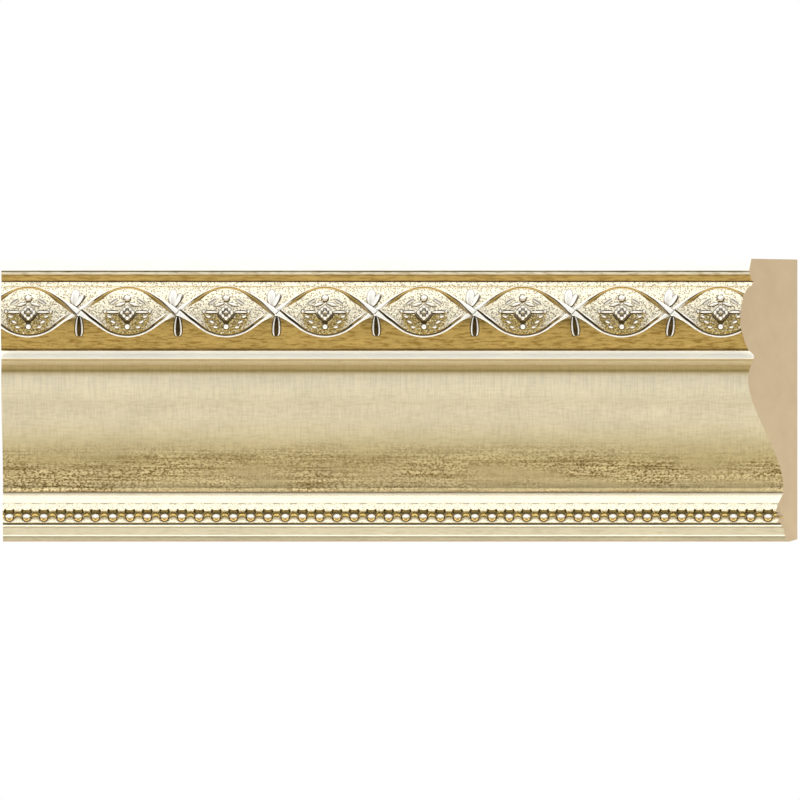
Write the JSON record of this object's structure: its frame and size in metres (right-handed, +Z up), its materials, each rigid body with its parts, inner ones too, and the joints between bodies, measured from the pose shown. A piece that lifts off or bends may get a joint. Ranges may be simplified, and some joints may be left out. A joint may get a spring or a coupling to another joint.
{
  "type": "wall moulding",
  "caption": "Light wall moulding with a gold face: interlaced ribbon band with rosettes, a broad curved field and a bead row, on a flat back.",
  "frame": {"origin": "centre of the flat back, on the wall", "axes": "+X along the moulding to the right as seen from the front, +Y into the wall, +Z up"},
  "size_m": [0.2816, 0.022, 0.1],
  "materials": {
    "gilt_front": "metallic gold foil on foamed polystyrene, glossy on the ornament and brushed satin on the broad field",
    "bare_foam": "bare tan foamed polystyrene on the back, top, underside and sawn ends"
  },
  "bodies": {
    "root": {"wall_moulding": "gilt_front"}
  },
  "joints": []
}
